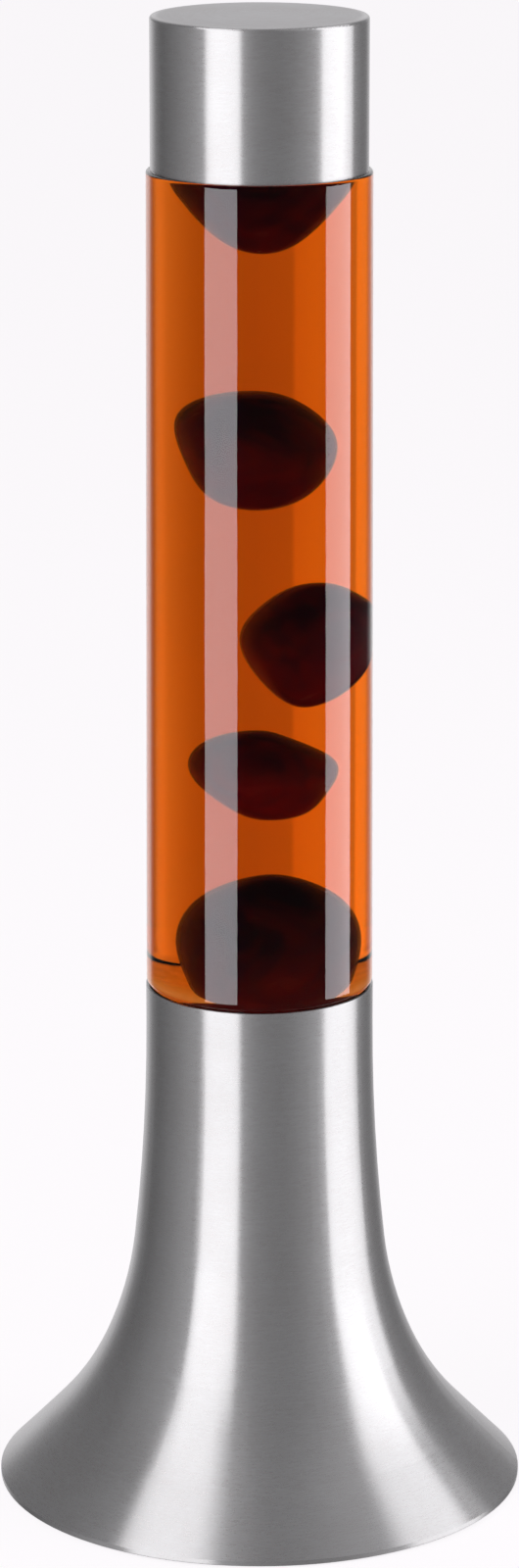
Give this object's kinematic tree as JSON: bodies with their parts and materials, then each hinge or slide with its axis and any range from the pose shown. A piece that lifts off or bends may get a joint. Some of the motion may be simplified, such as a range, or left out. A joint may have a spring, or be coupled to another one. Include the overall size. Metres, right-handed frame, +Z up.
{
  "type": "liquid motion lamp",
  "caption": "Table lamp with a flared brushed metal base, a clear glass bottle of orange liquid with floating dark red wax, and a loose brushed metal cap.",
  "frame": {"origin": "on the lamp's axis, at the underside of the rubber feet", "axes": "+Z up along the lamp's axis, -Y towards the front as pictured, +Y towards the cord's inlet"},
  "size_m": [0.1422, 0.1422, 0.4],
  "materials": {
    "brushed_aluminium": "circumferentially brushed, clear lacquer",
    "plain_aluminium": "as spun, unpolished",
    "black_rubber": "matt moulded",
    "zinc_steel": "zinc plated sheet",
    "plate_paint": "black powder coat, fine texture",
    "holder_plastic": "moulded thermoset",
    "contact_block": "glazed steatite look",
    "brass": "bright stamped",
    "bulb_cap_metal": "bright rolled",
    "insulator_glass": "black vitrite",
    "clear_glass": "clear polished soda glass",
    "bulb_glass": "satin front, clear neck",
    "filament_metal": "drawn wire",
    "orange_liquid": "clear coloured liquid",
    "dark_wax": "smooth dark red wax",
    "crown_metal": "lacquered tinplate",
    "liner_plastic": "soft sealing compound",
    "insert_plastic": "moulded"
  },
  "bodies": {
    "base": {"base_shell": "brushed_aluminium", "bottle_gasket": "black_rubber", "seat_sleeve": "plain_aluminium", "seat_ring": "plain_aluminium", "bottom_plate": "plate_paint", "rubber_feet": "black_rubber", "plate_lugs": "plain_aluminium", "plate_screws": "zinc_steel", "holder_bracket": "zinc_steel", "bracket_screws": "zinc_steel", "nipple_washer": "zinc_steel", "threaded_nipple": "zinc_steel", "nipple_nut": "zinc_steel", "lampholder_cap": "holder_plastic", "lampholder_body": "holder_plastic", "lampholder_contact_block": "contact_block", "lampholder_screw_shell": "brass", "lampholder_centre_contact": "brass", "terminal_blocks": "brass", "terminal_screws": "zinc_steel", "cord_grommet": "black_rubber"},
    "bulb": {"bulb_contact_tip": "brass", "bulb_insulator": "insulator_glass", "bulb_screw_cap": "bulb_cap_metal", "bulb_glass": "bulb_glass", "bulb_stem": "clear_glass", "bulb_filament": "filament_metal"},
    "bottle": {"glass_vessel": "clear_glass", "crown_liner": "liner_plastic", "crown_cap": "crown_metal", "orange_liquid": "orange_liquid", "wax_mound": "dark_wax", "wax_top_pool": "dark_wax", "heat_coil": "zinc_steel"},
    "egg_blob": {"wax_egg": "dark_wax"},
    "drop_blob": {"wax_drop": "dark_wax"},
    "lens_blob": {"wax_lens": "dark_wax"},
    "cap": {"top_cap": "brushed_aluminium", "cap_insert": "insert_plastic"}
  },
  "joints": [
    {"name": "bottle_lift", "type": "slide", "parent": "base", "child": "bottle", "axis": [0, 0, 1], "range_m": [0, 0.06]},
    {"name": "cap_lift", "type": "slide", "parent": "bottle", "child": "cap", "axis": [0, 0, 1], "range_m": [0, 0.05]},
    {"name": "bulb_unscrew", "type": "slide", "parent": "base", "child": "bulb", "axis": [0, 0, 1], "range_m": [0, 0.012]},
    {"name": "egg_drift", "type": "slide", "parent": "bottle", "child": "egg_blob", "axis": [0, 0, 1], "range_m": [-0.008, 0.034], "deforming": ["orange_liquid"]},
    {"name": "drop_drift", "type": "slide", "parent": "bottle", "child": "drop_blob", "axis": [0, 0, 1], "range_m": [-0.003, 0.009], "deforming": ["orange_liquid"]},
    {"name": "lens_drift", "type": "slide", "parent": "bottle", "child": "lens_blob", "axis": [0, 0, 1], "range_m": [-0.012, 0.003], "deforming": ["orange_liquid"]}
  ]
}
